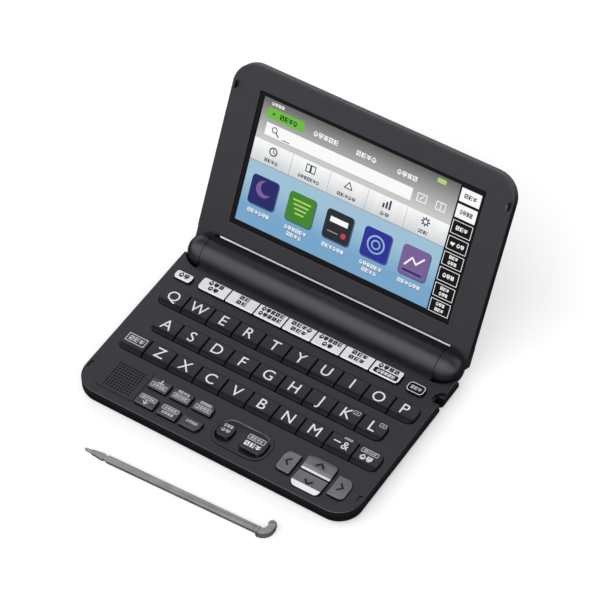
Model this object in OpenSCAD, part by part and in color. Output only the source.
// Pocket electronic dictionary: keyboard base, hinge barrel with two round cells, folding lid with a
// bonded display, fifty separate keys and a loose stylus. Millimetres, +Z up, the table at z = 0.
// The origin is the middle of the plan box of the open object with its stylus, on the table.

/* [Base case] */
// Width of the case and of the lid
case_w = 148; // [142:1:156]
// Depth from the front edge to the back of the hinge barrel
case_d = 104.7; // [103:0.1:109]
// Height of the keyboard deck above the table
deck_h = 9.3; // [9:0.1:10.5]
// Radius of the front corners in plan
corner_r = 12; // [8:0.5:14]
// Thickness of the outer walls
wall = 1.6; // [1.2:0.1:2]
// Thickness of the keyboard deck
deck_t = 1.5; // [1.2:0.1:1.8]
// Thickness of the floor
floor_t = 1.4; // [1:0.1:1.8]
// Height of the seam between the bottom case and the deck
seam_h = 6.4; // [5.8:0.1:6.8]
// Height at which the side walls start to curve in under the case
belly_h = 4.2; // [3:0.1:5]
// How far the underside is drawn in from the outline
belly_inset = 3.6; // [2:0.1:5]
// Height of the moulded feet
foot_h = 0.5; // [0.3:0.1:0.8]
// Radius of a foot
foot_r = 4; // [3:0.5:5]

/* [Hinge and batteries] */
// Radius of the hinge barrel
barrel_r = 8.8; // [8.6:0.1:9.4]
// Clearance between the barrel and the table
barrel_lift = 0.4; // [0.2:0.1:0.6]
// Width at each end of the barrel that is left to a lid knuckle
knuckle_w = 10.6; // [10:0.1:12]
// Radius of a round cell
cell_r = 7.25; // [7:0.05:7.3]
// Length of the barrel at each end that the cells leave to a hinge shaft and the contacts
cell_room = 12.9; // [12:0.1:15]
// Radius of a hinge shaft
shaft_r = 2.5; // [2:0.1:3]
// Length of a hinge shaft
shaft_len = 13.6; // [12:0.2:15]
// Radial running clearance of a hinge shaft
shaft_play = 0.05; // [0.02:0.01:0.1]
// Angle between the shut lid and the open lid
open_angle = 117.75; // [100:0.25:140]
// Gap between a lid knuckle and the case in front of it
knuckle_room = 2.1; // [2:0.1:2.6]

/* [Lid] */
// Length of the lid from the hinge axis to its far edge
lid_len = 96.2; // [95:0.1:97.5]
// Thickness of the lid
lid_t = 6; // [5.6:0.1:6.6]
// How far the lid's front face lies behind the hinge axis
face_drop = 2.05; // [1.85:0.05:2.3]
// Thickness of the front frame of the lid
frame_t = 1.8; // [1.5:0.1:2.2]
// Gap between the lid's lower edge and the barrel
lid_slit = 1.05; // [0.8:0.05:1.3]
// Radius of the far corners of the lid in plan
lid_corner_r = 12; // [8:0.5:14]
// Radius of the edge at the back of the lid
back_edge_r = 2.2; // [1.5:0.1:2.4]

/* [Display] */
// Width of the lid's frame beside the display glass, with the glass in the middle
side_frame = 14.9; // [14:0.1:19]
// Height of the display glass
glass_h = 66.6; // [60:0.2:68]
// Distance from the hinge axis to the near edge of the glass
glass_start = 18.4; // [16.5:0.1:20]
// Sideways offset of the glass from the middle
glass_shift = 0.6; // [-2:0.1:2]
// Depth of the glass below the face of the lid
glass_sink = 0.2; // [0.1:0.1:0.4]
// Clearance around the glass
glass_fit = 0.2; // [0.1:0.05:0.3]
// Thickness of the display module behind the glass
module_t = 2.6; // [2:0.1:2.8]

/* [Letter keys] */
// Space between the side of the case and the end of a long letter row, with the row in the middle
row_margin = 4.5; // [4:0.1:6.5]
// Distance between the rows of letter keys
row_pitch = 15.5; // [15:0.1:15.8]
// Depth of a letter key
key_d = 10.2; // [9:0.1:10.6]
// Gap between neighbouring keys of a row
key_gap = 0.7; // [0.5:0.05:1]
// Distance from the front edge to the middle of the third letter row
third_row = 32.8; // [32:0.1:33.5]
// Sideways offset of the letter rows from the middle
rows_shift = 1; // [-1:0.1:1.5]
// Height of the key tops above the deck
key_rise = 1.3; // [1:0.1:1.5]
// Travel of every key
key_travel = 1; // [0.6:0.1:1]
// Clearance between a key and the deck around it
key_fit = 0.3; // [0.2:0.05:0.4]
// Radius of the outer corners at the ends of a row
row_end_r = 3.4; // [2:0.1:4]

/* [Function keys] */
// Space between the side of the case and the function row, with the row in the middle
fn_margin = 19.4; // [18.7:0.1:21.5]
// Depth of a function key
fn_d = 7.2; // [6.4:0.1:7.6]
// Distance from the front edge to the middle of the function row
fn_row = 78.5; // [78:0.1:79]
// Middle of the function row measured from the middle of the case
fn_shift = -1.8; // [-2.5:0.1:-1]
// Width of the power key and the home key
end_key_w = 9; // [8:0.1:9.4]
// Depth of the power key and the home key
end_key_d = 4.8; // [4:0.1:5.6]

/* [Lower keys] */
// Width of the case that the places and widths of the lower keys are given for
layout_w = 148; // [140:1:156]
// Distance from the front edge to the middle of the lower keys
lower_row = 13; // [12.8:0.1:13.4]
// Distance between the columns of small keys
small_pitch = 12; // [11.6:0.1:12.2]
// Distance between the two rows of small keys
small_rows = 10.4; // [9.6:0.1:10.6]
// Width of a small key
small_w = 10; // [9:0.1:10.2]
// Depth of a small key
small_d = 5.9; // [5:0.1:6.2]
// Middle of the first column of small keys
small_x = -37.4; // [-38:0.1:-37]
// Middle of the rimmed dish with the two round keys
pad_x = 10.5; // [10.3:0.1:10.7]
// Distance from the front edge to the middle of the dish
pad_row = 13.3; // [13.1:0.1:13.5]
// Width of the dish with its rim
pad_w = 29; // [28.8:0.1:30]
// Depth of the dish with its rim, front to back
pad_d = 16.9; // [16.6:0.1:17.6]
// Width of the rim of the dish
rim_w = 1.5; // [1:0.1:1.5]
// Height of the rim of the dish above the deck
rim_h = 0.3; // [0.2:0.05:0.5]
// Depth of the dish below the deck
pad_sink = 0.3; // [0.2:0.05:0.5]
// Middle of the four arrow keys
arrows_x = 48.5; // [48:0.1:49]
// Width of the up and down keys
arrow_w = 15; // [14:0.1:15.4]
// Width of the left and right keys
side_arrow_w = 7.8; // [7:0.1:8.2]
// Depth of the left and right keys
side_arrow_d = 11.4; // [10:0.1:12]
// Depth of the up and down keys together
arrows_d = 18.6; // [17:0.1:19]

/* [Speaker] */
// Distance from the middle of the case to the outer end of the raised speaker panel
speaker_end = 65.3; // [64.5:0.1:66.5]
// Width of the speaker panel
speaker_w = 21.9; // [20:0.1:22.2]
// Depth of the speaker panel
speaker_d = 18.6; // [17:0.1:19]
// Height of the speaker panel above the deck
speaker_rise = 0.35; // [0.2:0.05:0.5]
// Distance between the speaker holes
hole_pitch = 1.5; // [1.4:0.05:1.7]
// Radius of a speaker hole
hole_r = 0.4; // [0.3:0.05:0.5]
// Speaker holes along each side of the field
hole_count = 10; // [6:1:11]

/* [Stylus] */
// Length of the stylus with its head
stylus_len = 96.6; // [92:0.1:100]
// Width of the stylus
stylus_w = 3.3; // [2.8:0.1:3.5]
// Thickness of the stylus
stylus_t = 2.2; // [1.8:0.1:2.6]
// Length of the hooked head across the stylus
hook_reach = 9.2; // [9:0.1:11]
// Outer radius of the bend of the hooked head
hook_r = 5.5; // [4.5:0.1:5.8]
// Height of the hooked head
hook_t = 3.6; // [3:0.1:4]
// Distance of the stylus from the front edge of the case
stylus_out = 21.2; // [15:0.1:30]
// Angle of the stylus to the front edge
stylus_turn = 2.3; // [0:0.1:5]
// Middle of the stylus measured from the middle of the case
stylus_x = -1.6; // [-10:0.1:10]

/* [Hidden] */
$fn = 64;
tiny = 0.01;
slack = 0.1; // flat faces that slide past each other
cell_play = 0.45; // between a cell and the barrel wall
foot_in = 16; // from the sides of the case to the middle of a front foot
half_w = case_w / 2;
half_barrel = half_w - knuckle_w;
barrel_len = 2 * half_barrel;
cell_len = half_barrel - cell_room;
underside = foot_h;
axis_z = barrel_r + barrel_lift;
axis_from_front = case_d - barrel_r;
tilt = 180 - open_angle; // the lid's lean from the table, when open

// Stylus tip
nib_len = 3.8;
grip_len = 6.4;
ring_len = 1.4;

// The plan box runs from the stylus in front to the back of the open lid.
stylus_reach = stylus_out + (stylus_len / 2 - nib_len - grip_len) * sin(stylus_turn) + stylus_w / 2;
lid_reach = axis_from_front + lid_len * cos(tilt) + (face_drop + lid_t) * sin(tilt) - back_edge_r / 4;
front_y = -(lid_reach - stylus_reach) / 2;
axis_y = front_y + axis_from_front;

// Letter rows
LETTERS_1 = ["q", "w", "e", "r", "t", "y", "u", "i", "o", "p"];
LETTERS_2 = ["a", "s", "d", "f", "g", "h", "j", "k", "l"];
LETTERS_3 = ["shift", "z", "x", "c", "v", "b", "n", "m", "dash", "delete"];
FN_COUNT = 7;
SMALL_COLS = 3;
flange_t = 0.8;
flange_top = deck_h - deck_t - slack;
flange_bottom = flange_top - flange_t;
flange_lap = 0.7; // how far a flange reaches under the deck
flange_in = 0.5; // how far a flange is narrower than its key
skirt = 2.2; // run of the sloping front of a letter key
skirt_rise = 0.35; // height of the skirt's foot above the deck
end_r = 1.6;
corner_small = 0.4;
pad_r = 7;
key_pitch = (case_w - 2 * row_margin) / len(LETTERS_1);
fn_pitch = (case_w - 2 * fn_margin) / FN_COUNT;
fn_w = fn_pitch - key_gap;
wide = case_w / layout_w; // the lower keys keep their share of the width
small_wide = wide * small_w;
pad_wide = wide * pad_w;
arrow_wide = wide * arrow_w;
side_arrow_wide = wide * side_arrow_w;
row_y = [for (i = [2:-1:0]) front_y + third_row + i * row_pitch];

// Stylus garage: the stylus goes in on edge, its hooked head upright in a notch of the side wall
garage_from_front = axis_from_front - 17.8;
garage_y = front_y + garage_from_front;
garage_fit = 0.15;
garage_w = stylus_t + 2 * garage_fit;
garage_h = stylus_w + 2 * garage_fit;
garage_roof = 0.5;
garage_top = flange_bottom - key_travel - key_fit; // just clear of a pressed key
garage_z = garage_top - garage_roof - garage_h / 2;
garage_end = half_w - stylus_len - 2;
notch_w = hook_t + 2 * garage_fit;
notch_depth = stylus_w + garage_fit;
notch_wall = 1.2;
hook_drop = 1.2; // how far the hook's bend hangs below the stylus
scoop_r = 4.4;
scoop_depth = 1.2;

// Barrel
bay_r = cell_r + cell_play;
bay_len = 2 * cell_len + 4;
cover_len = bay_len + 3;
cover_low_y = -1; // the cover's lower edge, from the axis
cover_high_z = 3.3; // the cover's upper edge, from the axis
groove_len = 18; // of the finger groove in the cover
pole_r = 2.75; // raised pole of a cell
pole_len = 2.6;
shaft_x = half_barrel - 7; // inner end of a shaft
knuckle_x = half_barrel + 0.3;
dome_x = half_w - 0.1 - barrel_r;
cradle_r = barrel_r + knuckle_room;
horn_end = 2.9; // the case's back corners end this far in front of the axis
horn_top = 5.2; // and their top edges here
horn_slant = 3.1; // height of the slant between the two
horn_from_front = axis_from_front - horn_end;

// Lid, in its own frame: the hinge axis at the origin, +Y to the far edge, +Z out of the face
face_z = -face_drop;
split_z = face_z - frame_t;
glass_w = case_w - 2 * side_frame;
back_z = face_z - lid_t;
lid_start = sqrt(pow(barrel_r + lid_slit, 2) - pow(face_drop, 2));

// Board
board_t = 1.2;
board_gap = 0.05; // between the board and the shoulders under it
board_side = 8; // from the side of the case
board_front = 5; // from the front edge
board_d = garage_from_front - board_front - 7;
board_z = flange_bottom - key_travel - 2.2;
boss_r = 1.9;
shoulder_r = 3.2;
boss_x = [half_w - 6, 30];
boss_from_front = [48.2, 24.6];

function letter_nodes(row) = [for (k = row) str("key_", k)];
ROW_1 = letter_nodes(LETTERS_1);
ROW_2 = letter_nodes(LETTERS_2);
ROW_3 = letter_nodes(LETTERS_3);
FN_KEYS = [for (i = [1:FN_COUNT]) str("key_function_", i)];
SMALL_KEYS = [for (i = [1:2 * SMALL_COLS]) str("key_small_", i)];
END_KEYS = ["key_power", "key_home"];
PAD_KEYS = ["key_back", "key_enter"];
ARROW_KEYS = ["key_left", "key_up", "key_down", "key_right"];

charcoal = [0.24, 0.235, 0.255];
key_grey = [0.27, 0.265, 0.29];
key_white = [0.84, 0.84, 0.86];
key_silver = [0.6, 0.6, 0.62];

// ---------------------------------------------------------------- outlines

// Points of an arc; a radius of nothing gives its centre alone.
function arc(c, r, a0, a1, n = 5) =
  r < tiny ? [c] : [for (i = [0:n]) c + r * [cos(a0 + (a1 - a0) * i / n), sin(a0 + (a1 - a0) * i / n)]];

// A rectangle about the origin with its own radius at each corner: front left, front right,
// back right, back left.
function plan(w, d, r) = concat(
  arc([-w / 2 + r[0], -d / 2 + r[0]], r[0], 180, 270),
  arc([w / 2 - r[1], -d / 2 + r[1]], r[1], 270, 360),
  arc([w / 2 - r[2], d / 2 - r[2]], r[2], 0, 90),
  arc([-w / 2 + r[3], d / 2 - r[3]], r[3], 90, 180)
);

function even(r) = [r, r, r, r];
function ends(l, r) = [l, r, r, l];

// Edge of the case: how far each height lies inside the outline.
function case_edge(z0, z1, top_r) = concat(
  [for (i = [0:6]) let (a = 90 * i / 6)
    [belly_inset * (1 - sin(a)), belly_h - (belly_h - z0) * cos(a)]],
  [for (i = [1:4]) let (a = 90 * i / 4) [top_r * (1 - cos(a)), z1 - top_r * (1 - sin(a))]]
);

// Edge of the lid, from the back cover up to the face.
function lid_edge(z0, z1, back_r, face_r) = concat(
  [for (i = [0:5]) let (a = 90 * i / 5) [back_r * (1 - sin(a)), z0 + back_r * (1 - cos(a))]],
  [for (i = [0:3]) let (a = 90 * i / 3) [face_r * (1 - cos(a)), z1 - face_r * (1 - sin(a))]]
);

// A slab whose edge follows a list of [inset, height]. Corners listed in round are revolved with radius r:
// [front, back] says which ends are rounded; a plain end is cut square.
module edged_slab(w, y0, y1, r, edge, round) {
  z0 = edge[0][1];
  z1 = edge[len(edge) - 1][1];
  side = concat([[0, z0]], [for (p = edge) [w / 2 - p[0], p[1]]], [[0, z1]]);
  a = round[0] ? y0 + r : y0;
  b = round[1] ? y1 - r : y1;
  // the run between the rounded ends, full width
  for (m = [0, 1]) mirror([m, 0, 0])
    translate([0, b, 0]) rotate([90, 0, 0]) linear_extrude(b - a) polygon(side);
  // the rounded ends
  for (e = [0, 1]) if (round[e]) {
    y = e == 0 ? a : b;
    for (m = [0, 1]) mirror([m, 0, 0]) translate([w / 2 - r, y, 0])
      rotate([0, 0, e == 0 ? 270 : 0]) rotate_extrude(angle = 90)
        polygon(concat([[0, z0]], [for (p = edge) [r - p[0], p[1]]], [[0, z1]]));
    reach = concat([[0, z0]], [for (p = edge) [r - p[0], p[1]]], [[0, z1]]);
    translate([0, y, 0]) mirror([0, e == 0 ? 1 : 0, 0])
      rotate([90, 0, 90]) linear_extrude(w - 2 * r, center = true) polygon(reach);
  }
}

// A cylinder along X, centred.
module rod(r, len) {
  rotate([0, 90, 0]) cylinder(r = r, h = len, center = true);
}

// ---------------------------------------------------------------- base

// The whole outer body of the base, between two heights.
module base_body(z0, z1, inset = 0) {
  intersection() {
    edged_slab(
      case_w - 2 * inset, front_y + inset, front_y + horn_from_front, corner_r - inset,
      case_edge(underside, deck_h, 0.8), [true, false]
    );
    translate([-case_w, front_y - case_w, z0]) cube([2 * case_w, 3 * case_w, z1 - z0]);
  }
}

// Round room for the lid knuckles at the back corners, with the slanted ends of the case beside them.
module cradles(grow = 0) {
  for (m = [0, 1]) mirror([m, 0, 0]) {
    intersection() {
      translate([half_barrel, axis_y, axis_z]) sphere(r = cradle_r + grow);
      translate([half_barrel - grow, axis_y - case_w / 2, -case_w / 2]) cube(case_w);
    }
    translate([half_barrel, axis_y, deck_h]) rotate([90, 0, 90]) linear_extrude(case_w) polygon([
      [-horn_top, tiny], [-horn_end, -horn_slant], [barrel_r, -horn_slant],
      [barrel_r, barrel_r], [-horn_top, barrel_r]
    ]);
  }
}

// The battery cover's share of the barrel, grown by a clearance.
module cover_zone(grow = 0) {
  translate([-cover_len / 2 - grow, axis_y + cover_low_y - grow, -barrel_r])
    cube([cover_len + 2 * grow, 2 * barrel_r, axis_z + barrel_r + cover_high_z + grow]);
}

module battery_bay() {
  translate([0, axis_y, axis_z]) rod(bay_r, bay_len);
}

module shaft_seats() {
  for (m = [0, 1]) mirror([m, 0, 0])
    translate([shaft_x, axis_y, axis_z]) rotate([0, 90, 0]) cylinder(r = shaft_r, h = shaft_len);
}

module bosses(r, z0, z1) {
  for (i = [0, 1], m = [-1, 1])
    translate([m * boss_x[i], front_y + boss_from_front[i], z0]) cylinder(r = r, h = z1 - z0);
}

// The barrel between two heights, with the wedge that joins it to the case.
module barrel(z0, z1) {
  intersection() {
    union() {
      translate([0, axis_y, axis_z]) rod(barrel_r, barrel_len);
      translate([-half_barrel, axis_y - barrel_r - wall, underside])
        cube([barrel_len, barrel_r + wall, axis_z - underside - 1]);
    }
    translate([-case_w, axis_y - 2 * barrel_r, z0]) cube([2 * case_w, 4 * barrel_r, z1 - z0]);
  }
}

// Hollow of the case below the deck, clear of the barrel and of the lid knuckles' room.
module case_hollow(z0, z1) {
  difference() {
    intersection() {
      edged_slab(
        case_w - 2 * wall, front_y + wall, axis_y - barrel_r - wall, corner_r - wall,
        case_edge(underside + floor_t, 2 * deck_h, 0.8), [true, false]
      );
      translate([-case_w, front_y - case_w, z0]) cube([2 * case_w, 3 * case_w, z1 - z0]);
    }
    cradles(wall);
  }
}

// Notch in the right wall for the stylus head, with a finger scoop round it in the deck.
module notch() {
  translate([half_w, garage_y, deck_h - scoop_depth]) cylinder(r = scoop_r, h = deck_h);
  translate([half_w - notch_depth, garage_y - notch_w / 2, -tiny]) cube([case_w, notch_w, 2 * deck_h]);
  translate([half_w - hook_r - garage_fit, garage_y - notch_w / 2, -tiny])
    cube([case_w, notch_w, underside + hook_r]);
}

// Walls that close the notch towards the inside.
module notch_block(z0, z1) {
  x = half_w - hook_r - garage_fit - notch_wall;
  intersection() {
    translate([x, garage_y - scoop_r - notch_wall, z0])
      cube([case_w, 2 * (scoop_r + notch_wall), z1 - z0]);
    base_body(z0, z1);
  }
}

module garage_slot() {
  translate([garage_end, garage_y - garage_w / 2, garage_z - garage_h / 2])
    cube([half_w - garage_end + tiny, garage_w, garage_h]);
}

module bottom_case() {
  color(charcoal) difference() {
    union() {
      difference() {
        base_body(0, seam_h);
        case_hollow(0, seam_h + tiny);
      }
      // walls of the stylus garage, up to the space below the keys
      intersection() {
        translate([garage_end - notch_wall, garage_y - garage_w / 2 - notch_wall, underside])
          cube([case_w, garage_w + 2 * notch_wall, garage_top - underside]);
        base_body(0, seam_h);
      }
      notch_block(underside, seam_h);
      bosses(shoulder_r, underside + tiny, board_z - board_gap);
      bosses(boss_r, underside + tiny, deck_h - deck_t);
      barrel(0, seam_h);
      // front feet under the case, back feet under the ends of the barrel
      for (m = [-1, 1]) {
        translate([m * (half_w - foot_in), front_y + foot_in, 0])
          cylinder(r = foot_r, h = underside + tiny);
        translate([m * (half_barrel - foot_r), axis_y, 0])
          translate([-foot_r + 1, -foot_r, 0]) cube([2 * foot_r - 2, foot_r, underside + tiny]);
      }
    }
    cradles();
    battery_bay();
    cover_zone(slack);
    shaft_seats();
    notch();
    garage_slot();
  }
}

// ---------------------------------------------------------------- keyboard deck

function row_w(count, pitch) = count * pitch - key_gap;

module window(x, y, w, d, r) {
  translate([x, y, 0]) linear_extrude(2 * deck_h)
    polygon(plan(w + 2 * key_fit, d + 2 * key_fit, [for (c = r) c + key_fit]));
}

module key_windows() {
  window(rows_shift, row_y[0], row_w(10, key_pitch) - key_gap, key_d, even(row_end_r));
  window(rows_shift, row_y[1], row_w(9, key_pitch) - key_gap, key_d, even(row_end_r));
  window(rows_shift, row_y[2], row_w(10, key_pitch) - key_gap, key_d, even(row_end_r));
  window(fn_shift, front_y + fn_row, row_w(FN_COUNT, fn_pitch), fn_d, even(end_r));
  for (s = [-1, 1]) window(end_key_x(s), end_key_y, end_key_w, end_key_d, even(end_r));
  for (i = [0:2 * SMALL_COLS - 1])
    window(small_key_x(i), small_key_y(i), small_wide, small_d, small_corners(i));
  for (i = [0, 1])
    window(pad_key_x(i), front_y + lower_row, pad_key_w[i], pad_key_d[i], even(pad_key_r));
  window(wide * arrows_x, front_y + lower_row, arrow_wide, arrows_d, even(arrow_r));
  for (s = [-1, 1])
    window(side_arrow_x(s), front_y + lower_row, side_arrow_wide, side_arrow_d, side_corners(s));
}

// Places and sizes of the single keys.
end_key_y = front_y + fn_row - 1.4;
function end_key_x(s) = fn_shift + s * (FN_COUNT * fn_pitch / 2 + 3.8 + end_key_w / 2);
function small_key_x(i) = wide * (small_x + (i % SMALL_COLS) * small_pitch);
function small_key_y(i) = front_y + lower_row + (i < SMALL_COLS ? 1 : -1) * small_rows / 2;
function small_corners(i) = i == 2 ? [corner_small, corner_small, 2.8, corner_small]
  : i == 5 ? [corner_small, 2.8, corner_small, corner_small] : even(corner_small);
pad_key_w = [wide * 7.6, wide * 12.4];
pad_key_d = [7.8, 8.8];
pad_key_r = 2.6;
function pad_key_x(i) = wide * (pad_x + (i == 0 ? -8.6 : 6.2));
arrow_r = 2.6;
function side_arrow_x(s) = wide * (arrows_x + s * (arrow_w / 2 + 2.4 + side_arrow_w / 2));
function side_corners(s) = s < 0
  ? [2.4, corner_small, corner_small, 3.6] : [corner_small, 2.4, 3.6, corner_small];

// The raised dish around the two round keys: its rim, and the hollow within the rim.
module pad_rim() {
  translate([wide * pad_x, front_y + pad_row, deck_h - tiny])
    linear_extrude(rim_h + tiny) polygon(plan(pad_wide, pad_d, even(pad_r)));
}

module pad_dish() {
  translate([wide * pad_x, front_y + pad_row, deck_h - pad_sink]) linear_extrude(deck_h)
    polygon(plan(pad_wide - 2 * rim_w, pad_d - 2 * rim_w, even(pad_r - rim_w)));
}

// Raised speaker panel to the left of the small keys.
speaker_r = 3;
speaker_x = -wide * speaker_end + speaker_w / 2;
speaker_y = front_y + lower_row + 0.9;
field_x = speaker_x + 0.85;
field_y = speaker_y - 0.4;

module speaker_panel() {
  translate([speaker_x, speaker_y, deck_h - tiny]) linear_extrude(speaker_rise + tiny)
    polygon(plan(speaker_w, speaker_d, [speaker_r, corner_small, corner_small, speaker_r]));
}

// A square field of holes.
module speaker_holes() {
  mid = (hole_count - 1) / 2;
  for (i = [0:hole_count - 1], j = [0:hole_count - 1])
    translate([field_x + (i - mid) * hole_pitch, field_y + (j - mid) * hole_pitch, 0])
      cylinder(r = hole_r, h = 2 * deck_h, $fn = 16);
}

module lid_pockets() {
  for (m = [-1, 1]) translate([m * nub_x, axis_y - nub_reach, deck_h - 0.6 + deck_h / 2])
    cube([nub_w + 2 * key_fit, nub_len + 2 * key_fit, deck_h], center = true);
}

module keyboard_deck() {
  color(charcoal) difference() {
    union() {
      difference() {
        base_body(seam_h, deck_h);
        case_hollow(seam_h - tiny, deck_h - deck_t);
      }
      barrel(seam_h, 3 * barrel_r);
      speaker_panel();
      pad_rim();
      notch_block(seam_h, deck_h);
    }
    cradles();
    battery_bay();
    cover_zone(slack);
    shaft_seats();
    notch();
    key_windows();
    pad_dish();
    speaker_holes();
    lid_pockets();
  }
}

// ---------------------------------------------------------------- inside the base

module battery_cover() {
  color(charcoal) intersection() {
    difference() {
      translate([0, axis_y, axis_z]) rod(barrel_r, barrel_len);
      translate([0, axis_y, axis_z]) rod(bay_r, case_w);
      // finger groove in the middle of the outside
      translate([0, axis_y + barrel_r + 1.6, axis_z - 3]) rotate([0, 90, 0])
        cylinder(r = 2.4, h = groove_len, center = true);
    }
    cover_zone();
  }
}

module battery_cells() {
  color("gainsboro") for (s = [-1, 1]) translate([s * (cell_len / 2 + 0.2), axis_y, axis_z]) {
    translate([-1, 0, 0]) rod(cell_r, cell_len - 2);
    translate([cell_len / 2 - 1.5, 0, 0]) rod(pole_r, pole_len);
  }
}

module circuit_board() {
  color("darkgreen") difference() {
    translate([-half_w + board_side, front_y + board_front, board_z])
      cube([case_w - 2 * board_side, board_d, board_t]);
    bosses(boss_r + 0.3, 0, deck_h);
  }
}

module hinge_shafts() {
  color("silver") for (m = [0, 1]) mirror([m, 0, 0])
    translate([shaft_x, axis_y, axis_z]) rotate([0, 90, 0]) cylinder(r = shaft_r, h = shaft_len);
}

// ---------------------------------------------------------------- stylus

module stylus() {
  shaft = nib_len + grip_len + ring_len;
  bend_y = hook_r - hook_drop - stylus_w / 2;
  rise = hook_reach - hook_r - stylus_w;
  color([0.5, 0.5, 0.51]) translate([stylus_x, front_y - stylus_out, 0]) rotate([0, 0, stylus_turn])
    translate([-stylus_len / 2, 0, 0]) {
      // nib, tapered grip, ring groove, flat body
      translate([0, 0, stylus_t / 2]) rotate([0, 90, 0]) cylinder(r1 = 0.65, r2 = 0.9, h = nib_len + tiny);
      translate([nib_len, 0, 0.1]) linear_extrude(stylus_t - 0.2)
        polygon([[0, -1], [grip_len, -stylus_w / 2], [grip_len, stylus_w / 2], [0, 1]]);
      translate([nib_len + grip_len - 0.5, -stylus_w / 2 + 0.5, 0.3])
        cube([ring_len + 1, stylus_w - 1, stylus_t - 0.6]);
      translate([shaft, -stylus_w / 2, 0]) cube([stylus_len - hook_r - shaft, stylus_w, stylus_t]);
      // hooked head: a bend that follows the side of the case, a short straight and a curled tip
      translate([stylus_len - hook_r, bend_y, 0]) {
        rotate([0, 0, 270]) rotate_extrude(angle = 90)
          translate([hook_r - stylus_w, 0]) square([stylus_w, hook_t]);
        translate([hook_r - stylus_w, -tiny, 0]) cube([stylus_w, rise + 2 * tiny, hook_t]);
        translate([0, rise, 0]) {
          rotate_extrude(angle = 30) translate([hook_r - stylus_w, 0]) square([stylus_w, hook_t]);
          rotate([0, 0, 30]) translate([hook_r - stylus_w / 2, 0, 0])
            cylinder(r = stylus_w / 2 - tiny, h = hook_t - tiny);
        }
        translate([-tiny, stylus_w / 2 - hook_r, 0]) cylinder(r = stylus_w / 2 - tiny, h = hook_t - tiny);
      }
    }
}

// ---------------------------------------------------------------- lid

nub_in = 13; // from the far edge of the lid
nub_reach = lid_len - nub_in;
nub_x = half_w - 2.2;
nub_w = 0.9;
nub_len = 3.4;
nub_h = axis_z + face_drop - deck_h + 0.2;

// Puts what is modelled in the lid's own frame on the hinge, at the open angle.
module on_hinge() {
  translate([0, axis_y, axis_z]) rotate([tilt, 0, 0]) children();
}

// The lid's outer form between two heights of its own frame.
module lid_body(z0, z1, inset = 0) {
  intersection() {
    edged_slab(
      case_w - 0.2 - 2 * inset, lid_start + inset, lid_len - inset, lid_corner_r - inset,
      lid_edge(back_z, face_z, back_edge_r, 0.5), [false, true]
    );
    translate([-case_w, -lid_len, z0]) cube([2 * case_w, 3 * lid_len, z1 - z0]);
  }
}

module knuckle() {
  difference() {
    union() {
      intersection() {
        translate([dome_x, 0, 0]) sphere(r = barrel_r);
        translate([knuckle_x, -2 * barrel_r, -2 * barrel_r]) cube(4 * barrel_r);
      }
      translate([knuckle_x, 0, 0]) rotate([0, 90, 0]) cylinder(r = barrel_r, h = dome_x - knuckle_x);
      // arm from the knuckle into the lid
      translate([knuckle_x, 1, back_z + 0.4])
        cube([half_w - 0.1 - knuckle_x - 0.4, lid_start, lid_t - 0.4]);
    }
    translate([knuckle_x - 1, 0, 0]) rotate([0, 90, 0])
      cylinder(r = shaft_r + shaft_play, h = shaft_len - (knuckle_x - shaft_x) + 1.5);
  }
}

module lid_frame() {
  color(charcoal) on_hinge() {
    difference() {
      lid_body(split_z, face_z);
      translate([glass_shift - glass_w / 2 - glass_fit, glass_start - glass_fit, split_z - 1])
        cube([glass_w + 2 * glass_fit, glass_h + 2 * glass_fit, frame_t + 2]);
    }
    for (m = [0, 1]) mirror([m, 0, 0]) knuckle();
    // nubs that drop into the deck when the lid is shut
    for (m = [-1, 1]) translate([m * nub_x - nub_w / 2, nub_reach - nub_len / 2, face_z - tiny])
      cube([nub_w, nub_len, nub_h + tiny]);
  }
}

module lid_back_cover() {
  color(charcoal) on_hinge() difference() {
    lid_body(back_z, split_z);
    translate([glass_shift - glass_w / 2 - 1, glass_start - 1, split_z - module_t - slack])
      cube([glass_w + 2, glass_h + 2, lid_t]);
    for (m = [-1, 1])
      translate([m * half_w - (m > 0 ? half_w - knuckle_x + slack : 0), 0, back_z - 1])
        cube([half_w - knuckle_x + slack, lid_start + 1 + slack, lid_t]);
  }
}

module display_panel() {
  color("black") on_hinge() {
    translate([glass_shift - glass_w / 2, glass_start, split_z])
      cube([glass_w, glass_h, frame_t - glass_sink]);
    translate([glass_shift - glass_w / 2 + 2, glass_start + 2, split_z - module_t])
      cube([glass_w - 4, glass_h - 4, module_t + tiny]);
  }
}

// ---------------------------------------------------------------- keys

// Side view of a key, front at the left. Every cap stands on a flange below the deck.
function letter_side(d, rise) = [
  [-d / 2, flange_bottom], [d / 2, flange_bottom],
  [d / 2, deck_h + rise - 0.25], [d / 2 - 0.3, deck_h + rise],
  [-d / 2 + skirt, deck_h + rise], [-d / 2, deck_h + skirt_rise]
];
function flat_side(d, rise) = [
  [-d / 2, flange_bottom], [d / 2, flange_bottom],
  [d / 2, deck_h + rise - 0.4], [d / 2 - 0.5, deck_h + rise],
  [-d / 2 + 0.5, deck_h + rise], [-d / 2, deck_h + rise - 0.4]
];
// The up and down keys rise from where they meet to a ridge, and slope away beyond it.
ridge_dip = 0.7;
ridge_rise = 1.5;
ridge_foot = 0.3;
ridge_run = 2.3;
function ridge_side(d, s) = [
  [-s * d / 2, flange_bottom], [s * d / 2, flange_bottom],
  [s * d / 2, deck_h + ridge_foot], [s * (d / 2 - ridge_run), deck_h + ridge_rise],
  [-s * d / 2, deck_h + ridge_dip]
];

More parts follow.
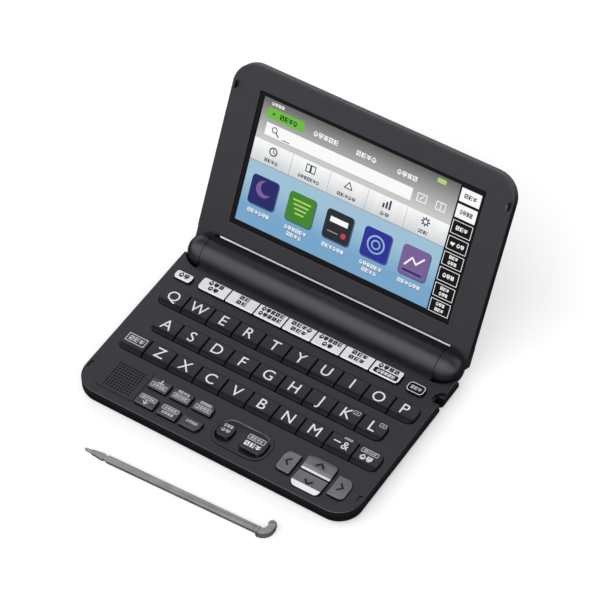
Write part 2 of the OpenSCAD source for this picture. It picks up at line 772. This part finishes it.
// The flange laps under the deck at the front and at the back, or only at one of them.
module key(x, y, w, d, r, side, lap = [1, 1]) {
  front = lap[0] * (key_fit + flange_lap);
  back = lap[1] * (key_fit + flange_lap);
  translate([x, y, 0]) {
    intersection() {
      linear_extrude(2 * deck_h) polygon(plan(w, d, r));
      rotate([90, 0, 90]) linear_extrude(w + 1, center = true) polygon(side);
    }
    translate([-w / 2 + flange_in, -d / 2 - front, flange_bottom])
      cube([w - 2 * flange_in, front + d + back, flange_t]);
  }
}

// A key of a letter row. The two end keys are a little narrower than the pitch, and round outside.
module row_key(row, i) {
  count = row == 1 ? len(ROW_2) : len(ROW_1);
  half = row_w(count, key_pitch) / 2 - key_gap / 2;
  x0 = max(-half, (i - count / 2) * key_pitch + key_gap / 2);
  x1 = min(half, (i + 1 - count / 2) * key_pitch - key_gap / 2);
  r = ends(i == 0 ? row_end_r : corner_small, i == count - 1 ? row_end_r : corner_small);
  color(key_grey)
    key(rows_shift + (x0 + x1) / 2, row_y[row], x1 - x0, key_d, r, letter_side(key_d, key_rise));
}

module function_key(i) {
  x = fn_shift + (i - (FN_COUNT - 1) / 2) * fn_pitch;
  r = ends(i == 0 ? end_r : corner_small, i == FN_COUNT - 1 ? end_r : corner_small);
  color(key_white) key(x, front_y + fn_row, fn_w, fn_d, r, flat_side(fn_d, key_rise));
}

module end_key(i) {
  color(i == 0 ? key_white : key_grey)
    key(end_key_x(2 * i - 1), end_key_y, end_key_w, end_key_d, even(end_r), flat_side(end_key_d, key_rise));
}

module small_key(i) {
  side = flat_side(small_d, key_rise);
  color(key_silver) key(small_key_x(i), small_key_y(i), small_wide, small_d, small_corners(i), side);
}

module pad_key(i) {
  color(key_grey) key(
    pad_key_x(i), front_y + lower_row, pad_key_w[i], pad_key_d[i], even(pad_key_r),
    flat_side(pad_key_d[i], key_rise)
  );
}

// The slope that takes the outer third off the left and right keys.
module outer_slope(s) {
  x = side_arrow_wide / 2;
  translate([side_arrow_x(s), front_y + lower_row, deck_h]) rotate([90, 0, 0])
    linear_extrude(2 * side_arrow_d, center = true) polygon([
      [s * (x - 2.6), key_rise], [s * (x + tiny), 0.5], [s * (x + 1), 0.5],
      [s * (x + 1), 2 * key_rise], [s * (x - 2.6), 2 * key_rise]
    ]);
}

module arrow_key(i) {
  d = (arrows_d - key_gap) / 2;
  y = front_y + lower_row;
  color(key_silver) {
    if (i == 0 || i == 3) {
      s = i == 0 ? -1 : 1;
      side = flat_side(side_arrow_d, key_rise);
      difference() {
        key(side_arrow_x(s), y, side_arrow_wide, side_arrow_d, side_corners(s), side);
        outer_slope(s);
      }
    } else {
      s = i == 1 ? 1 : -1;
      r = i == 1 ? [corner_small, corner_small, arrow_r, arrow_r]
        : [arrow_r, arrow_r, corner_small, corner_small];
      lap = i == 1 ? [0, 1] : [1, 0];
      key(wide * arrows_x, y + s * (arrows_d - d) / 2, arrow_wide, d, r, ridge_side(d, s), lap);
    }
  }
}

// ---------------------------------------------------------------- every node

bottom_case();
keyboard_deck();
battery_cover();
battery_cells();
circuit_board();
hinge_shafts();
stylus();
lid_frame();
lid_back_cover();
display_panel();
for (i = [0:len(ROW_1) - 1]) row_key(0, i);
for (i = [0:len(ROW_2) - 1]) row_key(1, i);
for (i = [0:len(ROW_3) - 1]) row_key(2, i);
for (i = [0:len(FN_KEYS) - 1]) function_key(i);
for (i = [0:len(END_KEYS) - 1]) end_key(i);
for (i = [0:len(SMALL_KEYS) - 1]) small_key(i);
for (i = [0:len(PAD_KEYS) - 1]) pad_key(i);
for (i = [0:len(ARROW_KEYS) - 1]) arrow_key(i);
